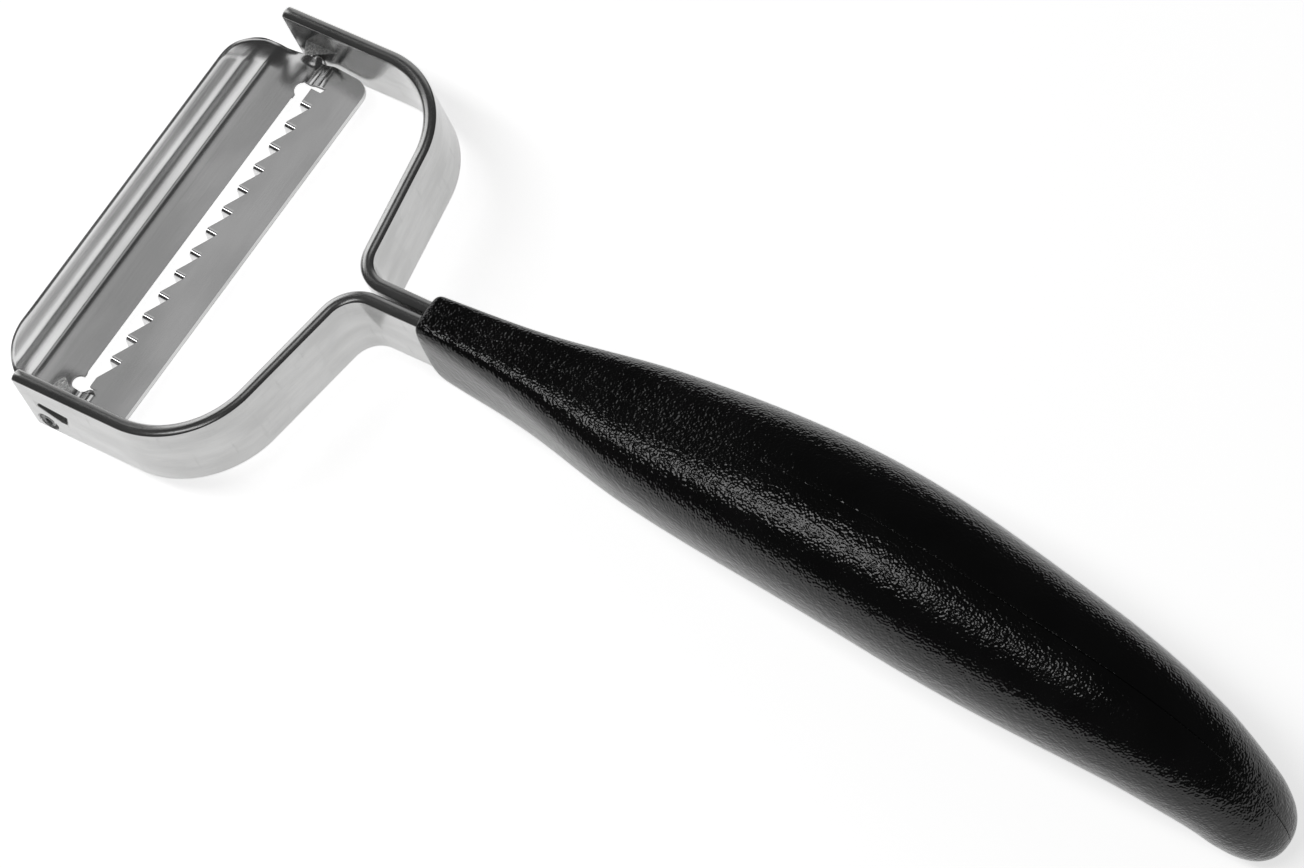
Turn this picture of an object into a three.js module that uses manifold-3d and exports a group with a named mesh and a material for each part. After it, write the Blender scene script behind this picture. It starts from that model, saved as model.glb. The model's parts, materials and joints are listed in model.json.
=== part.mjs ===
// Julienne peeler: a two-armed strip steel yoke in a moulded handle carries a swivelling slitting blade.
// Head frame: X = 0 at the arm tips with +X towards the handle's tail, Y across the arms, Z = 0 at the
// middle of the strip's width. The finished group lies on Z = 0, on both arm tips and the handle's tail.
import * as THREE from "three";
import { ConvexGeometry } from "three/addons/geometries/ConvexGeometry.js";
import { mergeVertices } from "three/addons/utils/BufferGeometryUtils.js";
import Module from "manifold-3d";

const wasm = await Module();
wasm.setup();

// Driving dimensions, in millimetres and degrees.

// Strip steel arms
const YOKE_WIDTH = 70; // outside across the two arms
const STRIP_WIDTH = 12;
const STRIP_THICKNESS = 2;
const STRIP_EDGE_RADIUS = 0.5;
const ARM_LENGTH = 20; // straight run from the tip to the shoulder bend
const SHOULDER_RADIUS = 14.7; // bend radii are those of the strip's middle line
const NECK_RADIUS = 5.3;
const SHOULDER_TURN = 80;
const LEG_GAP = 0.5; // between the two legs at the neck
const NECK_LENGTH = 8.4; // straight run from the neck bend to the handle
const TANG_LENGTH = 47; // straight run inside the handle

// Pivot and pressed-in stop of each arm
const PIVOT_SETBACK = 3.2; // from the arm's tip
const PIVOT_RISE = 2.3; // from the strip's lower edge
const TRUNNION_RADIUS = 1.3;
const STOP_RISE = 5; // from the pivot up to the stop's sheared top
const STOP_LENGTH = 5.5;
const STOP_DEPTH = 2.3;
const STOP_REACH = 2.2; // how far the stop stands into the yoke
const STOP_APEX = 1.2; // from the stop's front end

// Blade, one stamped sheet measured from its pivot line
const SHEET_THICKNESS = 0.6;
const BLADE_NOSE_UP = 12; // swing of the blade at rest, from level with the arms
const BLADE_END_GAP = 0.4; // from the sheet's end to the arm
const GUARD_WIDTH = 13.3; // forward of the pivot line
const GUARD_CORNER_RIGHT = 5.5;
const GUARD_CORNER_LEFT = 9.5;
const GUARD_LIP_WIDTH = 1.8;
const GUARD_LIP_DROP = 0.3;
const CREST_PLACES = [-6, -9.1]; // two crests pressed along the guard, behind one another
const CREST_RUN = 1.2; // behind a crest, up to it
const CREST_RISE = 0.2;
const CREST_SLIDE = 2.6; // in front of a crest, down to the next level
const CREST_DROP = 0.5;
const CREST_END = 2; // plain sheet left at each end of the crests
const CREST_FADE = 3.4;
const BAR_EDGE = 10.3; // rear edge of the bar
const BAR_CORNER = 2.4;
const BAR_RISE = 1.5; // step from the guard up to the bar
const STEP_START = 1;
const STEP_END = 3.9;
const BEVEL_WIDTH = 0.6; // ground along the bar's rear edge
const CUTTING_EDGE = 0.35; // straight front edge of the slot
const EDGE_GRIND = 1.2; // ground under the cutting edge
const GRIND_LAND = 0.15;
const END_BRIDGE = 3.7; // sheet left at each end of the slot
const RELIEF_RADIUS = 1.2;
const RELIEF_PLACE = 0.4;
const SLIT_WIDTH = 0.9;
const SLIT_END = 4.6;
const TOOTH_TIP = 2.7;
const TOOTH_ROOT = 4.4;
const FIN_PITCH = 4;
const FIN_SHIFT = 1.1; // fins sit off the middle towards the right arm
const FIN_MARGIN = 3; // plain slot at the ends of the row of fins
const FIN_DEPTH = 1.9;
const FIN_ROOT_DEPTH = 0.5;
const TRUNNION_ROOT = 1.9; // trunnion length inside the sheet's end
const TRUNNION_REACH = 0.5; // trunnion end past the arm's outer face
const TRUNNION_OPENING = 70;

// Handle, along its middle line from the front face
const HANDLE_LENGTH = 148;
const HANDLE_RISE = 0.3; // middle of the front face above the strip's middle
const HANDLE_TAIL = 9.6; // length of the rounded tail
const HANDLE_WALL = 3;
const HOLLOW_START = 27;
const SEAM_GAP = 0.3;
const FRONT_SQUARENESS = 5.9; // exponent of the section's rounded outline
const BODY_SQUARENESS = 2.2;
const SQUARENESS_RUN = 22;
// Share of the length, half width and half depth of the section, downward slope of the middle line
const HANDLE_SECTIONS = [
  [0, 3.5, 7.3, 3],
  [0.12, 5.5, 7.9, 3],
  [0.26, 9.6, 8.6, 3],
  [0.42, 11.7, 10.5, 6.5],
  [0.58, 12.1, 11.6, 22.8],
  [0.74, 10.6, 10.5, 22.2],
  [0.86, 8.5, 8.9, 43],
  [0.95, 6.6, 6.8, 65],
  [1, 7, 6.6, 77],
];

// Moulded posts that lock the tangs
const POST_PLACES = [19, 39]; // from the handle's front
const POST_RADIUS = 1.8;
const BOSS_RADIUS = 4;
const SOCKET_DEPTH = 2;

const CLEARANCE = 0.3; // between pieces that touch
const OVERCUT = 1; // how far a cutting body runs past what it cuts

// Facet counts
const BEND_FACETS = 6;
const ROUND_FACETS = 28;
const HANDLE_RINGS = 40;
const RING_POINTS = 40;
const LINE_STEPS = 60;

// Sizes that follow from the driving dimensions
const radians = THREE.MathUtils.degToRad;
const turn = radians(SHOULDER_TURN);
const armLine = (YOKE_WIDTH - STRIP_THICKNESS) / 2;
const armInside = YOKE_WIDTH / 2 - STRIP_THICKNESS;
const legLine = (LEG_GAP + STRIP_THICKNESS) / 2;
const bendDrop = (SHOULDER_RADIUS + NECK_RADIUS) * (1 - Math.cos(turn));
const diagonal = (armLine - legLine - bendDrop) / Math.sin(turn);
const bendRun = (SHOULDER_RADIUS + NECK_RADIUS) * Math.sin(turn);
const neckStart = ARM_LENGTH + bendRun + diagonal * Math.cos(turn);
const handleFront = neckStart + NECK_LENGTH;
const tangEnd = handleFront + TANG_LENGTH;
const pivotHeight = PIVOT_RISE - STRIP_WIDTH / 2;
const bladeEnd = armInside - BLADE_END_GAP;
const slotEnd = bladeEnd - END_BRIDGE;
const reliefMiddle = slotEnd - RELIEF_RADIUS;
const finCount = Math.floor((2 * reliefMiddle - FIN_MARGIN) / FIN_PITCH);
const slotHalfWidth = LEG_GAP / 2 + STRIP_THICKNESS + CLEARANCE;
const slotHalfHeight = STRIP_WIDTH / 2 + CLEARANCE;

// Closed solids from three.js geometry, and back

function solid(geometry) {
  const bare = geometry.clone();
  bare.deleteAttribute("normal");
  bare.deleteAttribute("uv");
  const merged = mergeVertices(bare, 1e-4);
  return new wasm.Manifold(
    new wasm.Mesh({
      numProp: 3,
      vertProperties: new Float32Array(merged.attributes.position.array),
      triVerts: new Uint32Array(merged.index.array),
    }),
  );
}

function piece(name, body, material) {
  const mesh = body.getMesh();
  const geometry = new THREE.BufferGeometry();
  geometry.setAttribute("position", new THREE.BufferAttribute(new Float32Array(mesh.vertProperties), 3));
  geometry.setIndex(new THREE.BufferAttribute(new Uint32Array(mesh.triVerts), 1));
  geometry.computeVertexNormals();
  const node = new THREE.Mesh(geometry, material);
  node.name = name;
  return node;
}

// A box given by its lowest and highest corners
function block(low, high) {
  const geometry = new THREE.BoxGeometry(high[0] - low[0], high[1] - low[1], high[2] - low[2]);
  geometry.translate((low[0] + high[0]) / 2, (low[1] + high[1]) / 2, (low[2] + high[2]) / 2);
  return solid(geometry);
}

// A round rod along Y, from y0 to y1
function crossRod(radius, x, z, y0, y1) {
  const geometry = new THREE.CylinderGeometry(radius, radius, y1 - y0, ROUND_FACETS);
  geometry.translate(x, (y0 + y1) / 2, z);
  return solid(geometry);
}

function hull(points) {
  return solid(new ConvexGeometry(points.map((point) => new THREE.Vector3(...point))));
}

// A flat outline in X and Y made a plate from z0 up to z1
function plate(shape, z0, z1) {
  const geometry = new THREE.ExtrudeGeometry(shape, {
    depth: z1 - z0,
    bevelEnabled: false,
    curveSegments: BEND_FACETS,
  });
  geometry.translate(0, 0, z0);
  return solid(geometry);
}

// Arms

// Plan of the right arm: tip, straight arm, shoulder bend inwards, diagonal, neck bend, leg and tang
function armPlan() {
  const half = STRIP_THICKNESS / 2;
  const shoulder = new THREE.Vector2(ARM_LENGTH, armLine - SHOULDER_RADIUS);
  const neck = new THREE.Vector2(neckStart, legLine + NECK_RADIUS);
  const shoulderFrom = Math.PI / 2;
  const shoulderTo = shoulderFrom - turn;
  const neckTo = 1.5 * Math.PI;
  const neckFrom = neckTo - turn;
  const plan = new THREE.Shape();
  plan.moveTo(0, armLine - half);
  plan.lineTo(ARM_LENGTH, armLine - half);
  plan.absarc(shoulder.x, shoulder.y, SHOULDER_RADIUS - half, shoulderFrom, shoulderTo, true);
  plan.absarc(neck.x, neck.y, NECK_RADIUS + half, neckFrom, neckTo, false);
  plan.lineTo(tangEnd, legLine - half);
  plan.lineTo(tangEnd, legLine + half);
  plan.absarc(neck.x, neck.y, NECK_RADIUS - half, neckTo, neckFrom, true);
  plan.absarc(shoulder.x, shoulder.y, SHOULDER_RADIUS + half, shoulderTo, shoulderFrom, false);
  plan.lineTo(0, armLine + half);
  return plan;
}

// The wedge that the stop's punch pushes through the strip, with its sheared face level on top
function stopWedge(face) {
  const x = PIVOT_SETBACK;
  const top = pivotHeight + STOP_RISE;
  const root = face + STRIP_THICKNESS / 2;
  const apex = face - STOP_REACH;
  const corners = [
    [0, top],
    [STOP_LENGTH, top],
    [STOP_LENGTH / 3, top - STOP_DEPTH],
  ];
  const points = corners.flatMap(([along, height]) => [
    [x + along, face, height],
    [x + along, root, height],
  ]);
  points.push([x + STOP_APEX, apex, top]);
  return hull(points);
}

function rightArm() {
  const geometry = new THREE.ExtrudeGeometry(armPlan(), {
    depth: STRIP_WIDTH - 2 * STRIP_EDGE_RADIUS,
    bevelEnabled: true,
    bevelThickness: STRIP_EDGE_RADIUS,
    bevelSize: STRIP_EDGE_RADIUS,
    bevelOffset: -STRIP_EDGE_RADIUS,
    bevelSegments: 2,
    curveSegments: BEND_FACETS,
  });
  geometry.translate(0, 0, STRIP_EDGE_RADIUS - STRIP_WIDTH / 2);
  const holeRadius = TRUNNION_RADIUS + CLEARANCE;
  const outside = YOKE_WIDTH / 2 + OVERCUT;
  let arm = solid(geometry);
  arm = arm.add(stopWedge(armInside));
  arm = arm.subtract(stopWedge(armInside + STRIP_THICKNESS));
  arm = arm.subtract(crossRod(holeRadius, PIVOT_SETBACK, pivotHeight, armInside - OVERCUT, outside));
  for (const place of POST_PLACES) {
    arm = arm.subtract(
      crossRod(POST_RADIUS + CLEARANCE, handleFront + place, 0, -OVERCUT, slotHalfWidth + OVERCUT),
    );
  }
  return arm;
}

// Blade

const smoothstep = THREE.MathUtils.smoothstep;

// Height of a crest's section above the level behind it: each side eases out as the square of what is left of
// it, up from the level behind and down to the lower level in front
function crestHeight(u, place) {
  const left = (length) => Math.max(0, 1 - Math.abs(u - place) / length) ** 2;
  if (u > place) return CREST_RISE * left(CREST_RUN);
  return CREST_RISE - CREST_DROP * (1 - left(CREST_SLIDE));
}

// Height of the sheet's middle surface: pressed crests and a turned-down lip on the guard, then the step up
// to the bar, which is steep in the slot and eased in the bridges at the slot's ends
function sheetHeight(u, y) {
  const fadeEnd = bladeEnd - CREST_END;
  const fade = 1 - smoothstep(Math.abs(y), fadeEnd - CREST_FADE, fadeEnd);
  let height = 0;
  for (const place of CREST_PLACES) height += fade * crestHeight(u, place);
  height -= GUARD_LIP_DROP * smoothstep(-u, GUARD_WIDTH - GUARD_LIP_WIDTH, GUARD_WIDTH);
  const inBridge = smoothstep(Math.abs(y), slotEnd - SLIT_WIDTH, slotEnd);
  const stepEnd = THREE.MathUtils.lerp(TOOTH_TIP, STEP_END, inBridge);
  return height + BAR_RISE * smoothstep(u, STEP_START, stepEnd);
}

// Part of the sheet's thickness that is ground away from the top along the bar's rear edge
function bevelCut(u) {
  const share = THREE.MathUtils.clamp((u - BAR_EDGE + BEVEL_WIDTH) / BEVEL_WIDTH, 0, 1);
  return share * (SHEET_THICKNESS - GRIND_LAND);
}

function spaced(from, to, count) {
  return Array.from({ length: count + 1 }, (_, index) => from + ((to - from) * index) / count);
}

// The formed sheet as a closed grid: rows across the blade, columns along it, top and underside
function formedSheet() {
  const crestBack = Math.max(...CREST_PLACES) + CREST_RUN;
  const rows = [
    ...spaced(-GUARD_WIDTH, crestBack, 24),
    ...CREST_PLACES,
    ...spaced(STEP_START, STEP_END, 8),
    BAR_EDGE - BEVEL_WIDTH,
    BAR_EDGE,
  ];
  rows.sort((a, b) => a - b);
  const fadeEnd = bladeEnd - CREST_END;
  const side = [...spaced(fadeEnd - CREST_FADE, fadeEnd, 5), slotEnd - SLIT_WIDTH, slotEnd, bladeEnd];
  side.sort((a, b) => a - b);
  const columns = [...side.map((y) => -y).reverse(), ...side];
  const points = [];
  for (const sign of [1, -1]) {
    for (const u of rows) {
      for (const y of columns) {
        const cut = sign > 0 ? bevelCut(u) : 0;
        points.push(u, y, sheetHeight(u, y) + (sign * SHEET_THICKNESS) / 2 - cut);
      }
    }
  }
  const wide = columns.length;
  const last = rows.length - 1;
  const under = rows.length * wide;
  const faces = [];
  const quad = (a, b, c, d) => faces.push(a, b, c, a, c, d);
  for (let row = 0; row < last; row += 1) {
    for (let column = 0; column < wide - 1; column += 1) {
      const a = row * wide + column;
      quad(a, a + wide, a + wide + 1, a + 1);
      quad(under + a, under + a + 1, under + a + wide + 1, under + a + wide);
    }
  }
  const rim = [
    ...Array.from({ length: wide }, (_, column) => column),
    ...Array.from({ length: last }, (_, row) => (row + 1) * wide + wide - 1),
    ...Array.from({ length: wide - 1 }, (_, column) => last * wide + wide - 2 - column),
    ...Array.from({ length: last - 1 }, (_, row) => (last - 1 - row) * wide),
  ];
  rim.forEach((a, index) => {
    const b = rim[(index + 1) % rim.length];
    quad(a, b, under + b, under + a);
  });
  const geometry = new THREE.BufferGeometry();
  geometry.setAttribute("position", new THREE.Float32BufferAttribute(points, 3));
  geometry.setIndex(faces);
  return solid(geometry);
}

// Outline of the sheet, with round corners
function sheetOutline() {
  const outline = new THREE.Shape();
  const corner = (u, y, radius, from) => {
    const middle = [u - Math.sign(u) * radius, y - Math.sign(y) * radius];
    outline.absarc(...middle, radius, from, from + Math.PI / 2, false);
  };
  corner(-GUARD_WIDTH, -bladeEnd, GUARD_CORNER_LEFT, Math.PI);
  corner(BAR_EDGE, -bladeEnd, BAR_CORNER, 1.5 * Math.PI);
  corner(BAR_EDGE, bladeEnd, BAR_CORNER, 0);
  corner(-GUARD_WIDTH, bladeEnd, GUARD_CORNER_RIGHT, Math.PI / 2);
  return outline;
}

const finPlaces = spaced(
  FIN_SHIFT - ((finCount - 1) / 2) * FIN_PITCH,
  FIN_SHIFT + ((finCount - 1) / 2) * FIN_PITCH,
  finCount - 1,
);

// The slot: straight cutting edge in front, saw teeth of the bar behind
function slotOutline() {
  const outline = new THREE.Shape();
  outline.moveTo(CUTTING_EDGE, reliefMiddle);
  outline.lineTo(CUTTING_EDGE, -reliefMiddle);
  outline.lineTo(TOOTH_TIP, -reliefMiddle);
  outline.lineTo(TOOTH_TIP, finPlaces[0] - FIN_PITCH + SHEET_THICKNESS);
  finPlaces.forEach((y, index) => {
    outline.lineTo(TOOTH_ROOT, y);
    outline.lineTo(TOOTH_TIP, y);
    if (index < finCount - 1) {
      outline.lineTo(TOOTH_TIP, y + SHEET_THICKNESS);
    }
  });
  outline.lineTo(TOOTH_TIP, reliefMiddle);
  return outline;
}

// A slitting fin, folded down from the flank of a tooth
function fin(y) {
  const top = BAR_RISE + SHEET_THICKNESS / 4;
  const low = BAR_RISE - SHEET_THICKNESS / 2;
  return hull(
    [y, y + SHEET_THICKNESS].flatMap((side) => [
      [TOOTH_TIP, side, top],
      [TOOTH_ROOT, side, top],
      [TOOTH_ROOT, side, low - FIN_ROOT_DEPTH],
      [TOOTH_TIP, side, low - FIN_DEPTH],
    ]),
  );
}

// A trunnion rolled from the sheet: an open tube on the pivot line
function trunnion(side) {
  const roll = new THREE.Shape();
  const open = radians(TRUNNION_OPENING) / 2;
  const from = -Math.PI / 2 + open;
  const to = 1.5 * Math.PI - open;
  roll.absarc(0, 0, TRUNNION_RADIUS, from, to, false);
  roll.absarc(0, 0, TRUNNION_RADIUS - SHEET_THICKNESS, to, from, true);
  const start = bladeEnd - TRUNNION_ROOT;
  const end = YOKE_WIDTH / 2 + TRUNNION_REACH;
  const geometry = new THREE.ExtrudeGeometry(roll, {
    depth: end - start,
    bevelEnabled: false,
    curveSegments: BEND_FACETS * 2,
  });
  geometry.rotateX(Math.PI / 2);
  geometry.translate(0, side > 0 ? end : -start, 0);
  return solid(geometry);
}

function bladeBody() {
  const high = CREST_RISE + BAR_RISE + OVERCUT;
  const low = CREST_PLACES.length * (CREST_RISE - CREST_DROP) - GUARD_LIP_DROP - OVERCUT;
  let body = formedSheet().intersect(plate(sheetOutline(), low, high));
  body = body.subtract(plate(slotOutline(), low, high));
  for (const side of [1, -1]) {
    const relief = new THREE.Shape();
    relief.absarc(RELIEF_PLACE, side * reliefMiddle, RELIEF_RADIUS, 0, 2 * Math.PI, false);
    body = body.subtract(plate(relief, low, high));
    const slit = [side * slotEnd, side * (slotEnd - SLIT_WIDTH)].sort((a, b) => a - b);
    body = body.subtract(block([RELIEF_PLACE, slit[0], low], [SLIT_END, slit[1], high]));
    body = body.add(trunnion(side));
  }
  const under = -SHEET_THICKNESS / 2 - OVERCUT;
  const edgeHeight = SHEET_THICKNESS / 2 - GRIND_LAND;
  const grind = [
    [CUTTING_EDGE - EDGE_GRIND, -SHEET_THICKNESS / 2],
    [CUTTING_EDGE - EDGE_GRIND, under],
    [CUTTING_EDGE + OVERCUT, under],
    [CUTTING_EDGE + OVERCUT, edgeHeight],
    [CUTTING_EDGE, edgeHeight],
  ];
  const grindEnd = reliefMiddle - RELIEF_RADIUS;
  const wheel = hull([-grindEnd, grindEnd].flatMap((y) => grind.map(([u, z]) => [u, y, z])));
  body = body.subtract(wheel);
  for (const y of finPlaces) {
    body = body.add(fin(y));
  }
  return body;
}

// Handle

// Section size or slope at a share of the length, by a cubic through the stations
function sectionAt(share, column) {
  const count = HANDLE_SECTIONS.length;
  let index = HANDLE_SECTIONS.findIndex((station) => station[0] >= share);
  index = THREE.MathUtils.clamp(index, 1, count - 1);
  const slopeAt = (k) => {
    const before = HANDLE_SECTIONS[Math.max(k - 1, 0)];
    const after = HANDLE_SECTIONS[Math.min(k + 1, count - 1)];
    return (after[column] - before[column]) / (after[0] - before[0]);
  };
  const a = HANDLE_SECTIONS[index - 1];
  const b = HANDLE_SECTIONS[index];
  const span = b[0] - a[0];
  const t = (share - a[0]) / span;
  const rise = t * t * (3 - 2 * t);
  const leave = t * (1 - t) * (1 - t) * span * slopeAt(index - 1);
  const arrive = t * t * (t - 1) * span * slopeAt(index);
  return a[column] + (b[column] - a[column]) * rise + leave + arrive;
}

// Point and downward slope of the handle's middle line, summed over short steps from the front
function middleLine(along) {
  const step = along / LINE_STEPS;
  let x = handleFront;
  let z = HANDLE_RISE;
  for (let k = 0; k < LINE_STEPS; k += 1) {
    const slope = radians(sectionAt(((k + 0.5) * step) / HANDLE_LENGTH, 3));
    x += step * Math.cos(slope);
    z -= step * Math.sin(slope);
  }
  return { x, z, slope: radians(sectionAt(along / HANDLE_LENGTH, 3)) };
}

// A loft of rounded sections along the middle line, drawn in by an inset, with a flat front and a round tail
function handleLoft(start, inset) {
  const end = HANDLE_LENGTH - inset;
  const points = [];
  const faces = [];
  for (let ring = 0; ring < HANDLE_RINGS; ring += 1) {
    const along = start + (end - start) * (1 - (1 - ring / HANDLE_RINGS) ** 1.6);
    const share = along / HANDLE_LENGTH;
    const inTail = Math.max(0, along - end + HANDLE_TAIL) / HANDLE_TAIL;
    const round = Math.sqrt(1 - inTail * inTail);
    const halfWidth = (sectionAt(share, 1) - inset) * round;
    const halfDepth = (sectionAt(share, 2) - inset) * round;
    const squareness = (FRONT_SQUARENESS - BODY_SQUARENESS) * Math.exp(-along / SQUARENESS_RUN);
    const power = 2 / (BODY_SQUARENESS + squareness);
    const at = middleLine(along);
    for (let k = 0; k < RING_POINTS; k += 1) {
      const angle = (2 * Math.PI * k) / RING_POINTS;
      const across = Math.sign(Math.cos(angle)) * Math.abs(Math.cos(angle)) ** power;
      const upward = Math.sign(Math.sin(angle)) * Math.abs(Math.sin(angle)) ** power;
      const lift = halfDepth * upward;
      points.push(at.x + lift * Math.sin(at.slope), halfWidth * across, at.z + lift * Math.cos(at.slope));
    }
  }
  const front = middleLine(start);
  const tail = middleLine(end);
  const frontPoint = points.length / 3;
  points.push(front.x, 0, front.z, tail.x, 0, tail.z);
  for (let k = 0; k < RING_POINTS; k += 1) {
    const next = (k + 1) % RING_POINTS;
    faces.push(frontPoint, next, k);
    for (let ring = 0; ring < HANDLE_RINGS - 1; ring += 1) {
      const a = ring * RING_POINTS;
      const b = a + RING_POINTS;
      faces.push(a + k, a + next, b + next, a + k, b + next, b + k);
    }
    const rim = (HANDLE_RINGS - 1) * RING_POINTS;
    faces.push(rim + k, rim + next, frontPoint + 1);
  }
  const geometry = new THREE.BufferGeometry();
  geometry.setAttribute("position", new THREE.Float32BufferAttribute(points, 3));
  geometry.setIndex(faces);
  return solid(geometry);
}

// Both halves: hollow shells with bosses round the posts and a close slot for the tangs. The left half
// carries the posts, the right half their sockets.
function handleHalves() {
  const widest = Math.max(...HANDLE_SECTIONS.map((station) => station[1])) + OVERCUT;
  let hollow = handleLoft(HOLLOW_START, HANDLE_WALL);
  for (const place of POST_PLACES) {
    hollow = hollow.subtract(crossRod(BOSS_RADIUS, handleFront + place, 0, -widest, widest));
  }
  const slot = block(
    [handleFront - 2 * OVERCUT, -slotHalfWidth, -slotHalfHeight],
    [tangEnd + CLEARANCE, slotHalfWidth, slotHalfHeight],
  );
  const shell = handleLoft(0, 0).subtract(hollow).subtract(slot);
  const front = handleFront - HANDLE_LENGTH;
  const back = handleFront + 2 * HANDLE_LENGTH;
  const half = (side) => {
    const reach = [(side * SEAM_GAP) / 2, side * widest].sort((a, b) => a - b);
    return shell.intersect(block([front, reach[0], -HANDLE_LENGTH], [back, reach[1], HANDLE_LENGTH]));
  };
  let left = half(-1);
  let right = half(1);
  const socketEnd = slotHalfWidth + SOCKET_DEPTH;
  for (const place of POST_PLACES) {
    const x = handleFront + place;
    left = left.add(crossRod(POST_RADIUS, x, 0, -slotHalfWidth - OVERCUT, socketEnd - CLEARANCE));
    right = right.subtract(crossRod(POST_RADIUS + CLEARANCE, x, 0, 0, socketEnd));
  }
  return { left, right };
}

// Assembly

const steel = { color: 0xc4c4c2, metalness: 0.95, roughness: 0.34 };
const plastic = { color: 0x131313, metalness: 0, roughness: 0.5 };
const armBody = rightArm();
const handle = handleHalves();
const fixed = [
  piece("arm_left", armBody.mirror([0, 1, 0]), new THREE.MeshStandardMaterial(steel)),
  piece("arm_right", armBody, new THREE.MeshStandardMaterial(steel)),
  piece("handle_left", handle.left, new THREE.MeshStandardMaterial(plastic)),
  piece("handle_right", handle.right, new THREE.MeshStandardMaterial(plastic)),
];

const swivel = new THREE.Group();
swivel.position.set(PIVOT_SETBACK, 0, pivotHeight);
swivel.rotation.y = radians(BLADE_NOSE_UP);
swivel.add(
  piece("blade", bladeBody(), new THREE.MeshStandardMaterial({ ...steel, color: 0x8d8d8d, roughness: 0.4 })),
);

// Lowest height of a piece once the tool is tipped back by an angle
function lowest(node, angle) {
  const position = node.geometry.attributes.position;
  let low = Infinity;
  for (let k = 0; k < position.count; k += 1) {
    low = Math.min(low, position.getX(k) * Math.sin(angle) + position.getZ(k) * Math.cos(angle));
  }
  return low;
}

// The tool lies on its arm tips and tail: the tip-back angle at which both are equally low
let flat = 0;
let steep = Math.PI / 4;
for (let step = 0; step < 40; step += 1) {
  const middle = (flat + steep) / 2;
  if (lowest(fixed[2], middle) < lowest(fixed[0], middle)) {
    flat = middle;
  } else {
    steep = middle;
  }
}

const lying = new THREE.Group();
lying.rotation.y = -flat;
lying.add(...fixed, swivel);

const peeler = new THREE.Group();
peeler.add(lying);
peeler.updateMatrixWorld(true);
const box = new THREE.Box3().setFromObject(peeler, true);
lying.position.set(-(box.min.x + box.max.x) / 2, -(box.min.y + box.max.y) / 2, -box.min.z);
peeler.updateMatrixWorld(true);

export default peeler;
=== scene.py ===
"""Julienne peeler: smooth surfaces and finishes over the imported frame, with floor, studio light and camera."""
import json

import bmesh
import bpy
import numpy as np
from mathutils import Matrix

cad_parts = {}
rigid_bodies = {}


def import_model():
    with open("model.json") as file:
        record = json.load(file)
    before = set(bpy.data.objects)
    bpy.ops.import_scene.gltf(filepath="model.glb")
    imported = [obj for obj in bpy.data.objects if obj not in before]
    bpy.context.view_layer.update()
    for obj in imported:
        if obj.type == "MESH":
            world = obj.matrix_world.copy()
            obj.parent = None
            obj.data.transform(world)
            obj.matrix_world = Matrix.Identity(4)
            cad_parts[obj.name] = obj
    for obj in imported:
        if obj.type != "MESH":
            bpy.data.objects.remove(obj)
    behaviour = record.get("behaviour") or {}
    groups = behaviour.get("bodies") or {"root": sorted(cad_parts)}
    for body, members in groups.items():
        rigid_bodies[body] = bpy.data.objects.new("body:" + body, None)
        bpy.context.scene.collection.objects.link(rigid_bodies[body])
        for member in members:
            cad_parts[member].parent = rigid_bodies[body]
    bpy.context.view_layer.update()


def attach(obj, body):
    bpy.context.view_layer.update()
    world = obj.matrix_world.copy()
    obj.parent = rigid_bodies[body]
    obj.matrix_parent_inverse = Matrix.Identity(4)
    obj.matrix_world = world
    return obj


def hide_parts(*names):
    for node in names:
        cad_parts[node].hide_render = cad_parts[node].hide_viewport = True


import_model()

# Sizes of the part, in millimetres and degrees. The head frame has X = 0 at the arm tips with +X towards the
# tail, Y across the arms and Z = 0 at the middle of the strip's width.
TIP_BACK = np.radians(12.24294662)
HEAD_SHIFT = np.array([-90.8975045, 0.0, 5.7575146])

YOKE_WIDTH = 70.0
STRIP_WIDTH = 12.0
STRIP_THICKNESS = 2.0
STRIP_EDGE = 0.36
ARM_LENGTH = 20.0
SHOULDER_RADIUS = 14.7
NECK_RADIUS = 5.3
SHOULDER_TURN = np.radians(80)
LEG_GAP = 0.5
HANDLE_FRONT = 50.956701
TANG_END = 97.956701

PIVOT_X = 3.2
PIVOT_Z = -3.7
HOLE_RADIUS = 1.6
HOLE_FLARE = 1.14  # share by which the outer rim is wider
HOLE_BLEND = 2.15  # half side of the square in which the grid is drawn to the hole's circle
STOP_TOP = 1.3  # height of the sheared edge
STOP_LENGTH = 5.5
STOP_APEX = 1.2  # from the stop's front end
STOP_FOOT = 5.0  # X of the lowest point
STOP_DEPTH = 2.05
STOP_REACH = {"left": 3.4, "right": 2.1}
HOLLOW_FOOT = -1.75
HOLLOW_DEEP = 1.75
SHEAR_SLANT = 0.15  # fall of the sheared edge towards the tail, on the outer face

# Grid of an arm: steps across the hole and up the stop, rows of the rounded tip, points round an edge, level of
# the upper copy of the sheared edge, places of the rows through the hole and half the flat width
HOLE_STEPS = 16
STOP_STEPS = 24
TIP_ROWS = 5
EDGE_POINTS = 11
STOP_ROW = HOLE_STEPS + STOP_STEPS + 3
HOLE_LINES = PIVOT_X + HOLE_RADIUS * np.linspace(-1, 1, HOLE_STEPS + 1)
FLAT_HALF = STRIP_WIDTH / 2 - STRIP_EDGE - 0.005

SHEET = 0.6
NOSE_UP = np.radians(12)
BLADE_END = 32.6
GUARD_FRONT = -13.28
GUARD_CORNERS = (9.5, 5.5)
BAR_REAR = 10.3
BAR_CORNER = 2.4
BAR_RISE = 1.5
GRIND = 0.22  # width and depth of the bevel on the bar's rear edge
GRIND_DEPTH = 0.48
EDGE_GRIND = 1.1  # width and depth of the grind under the cutting edge
EDGE_GRIND_DEPTH = 0.42
GUARD_LIP = 0.25  # drop of the lip round the guard
GUARD_CURL = 0.75  # drop of the guard's right end, and its run
CURL_RUN = 4.2
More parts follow.
